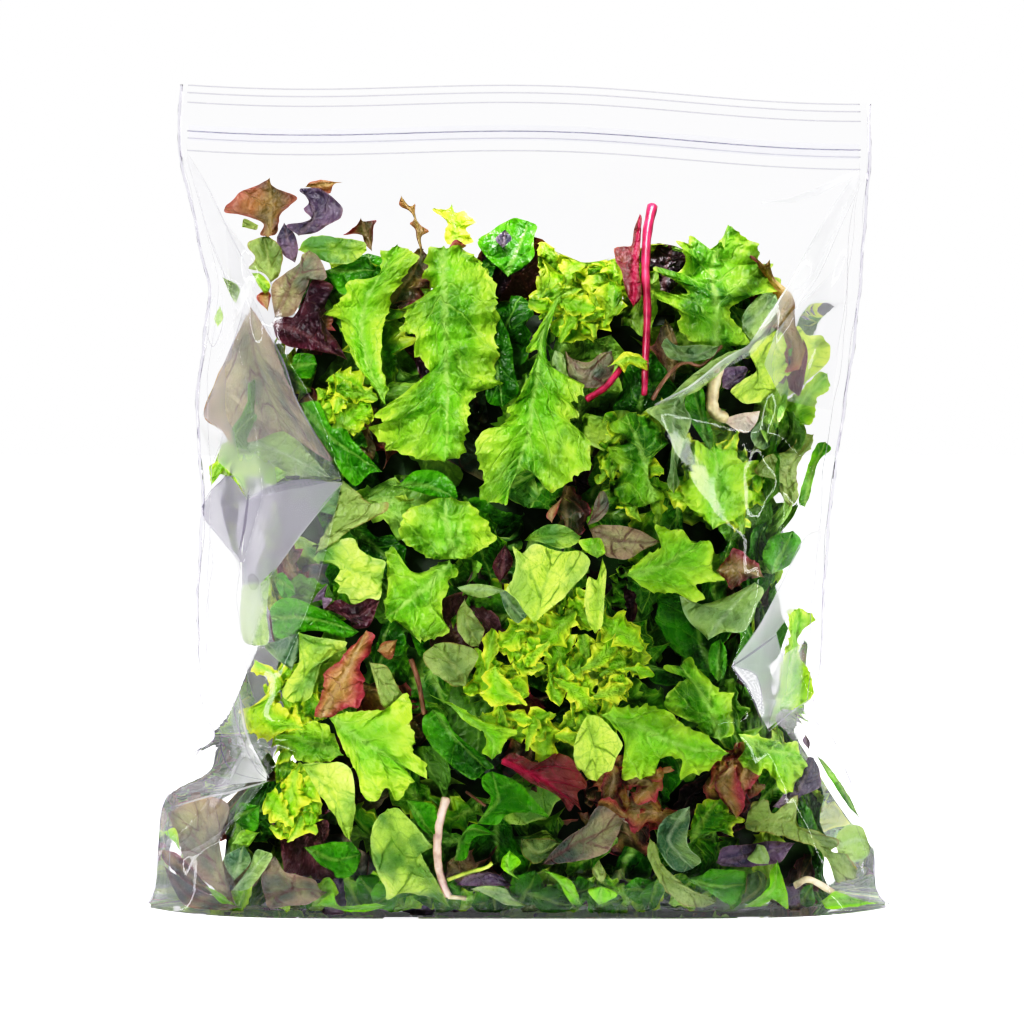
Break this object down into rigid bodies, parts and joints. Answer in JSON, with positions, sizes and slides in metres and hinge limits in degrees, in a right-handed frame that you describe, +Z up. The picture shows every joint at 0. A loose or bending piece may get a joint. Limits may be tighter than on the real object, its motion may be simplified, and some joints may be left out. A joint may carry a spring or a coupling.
{
  "type": "bag of salad leaves",
  "caption": "Clear resealable plastic bag of mixed salad leaves, standing upright on its opened bottom gusset, with a press-to-close zip along its mouth.",
  "frame": {"origin": "middle of the foot that the bag stands on, at the surface it stands on", "axes": "+Z up towards the zip mouth, +X to the right as the front panel is seen, front panel facing -Y"},
  "size_m": [0.2917, 0.102, 0.3253],
  "materials": {
    "film": "thin clear glossy film",
    "zip": "clear extruded press-seal profile",
    "leaf_green": "fresh green leaf, veined, waxy sheen",
    "leaf_red": "fresh red and purple leaf, veined, waxy sheen",
    "leaf_stalk": "fresh juicy leaf stalk"
  },
  "bodies": {
    "root": {"bag": "film", "zip_track_front": "zip", "zip_track_back": "zip"}
  },
  "joints": []
}
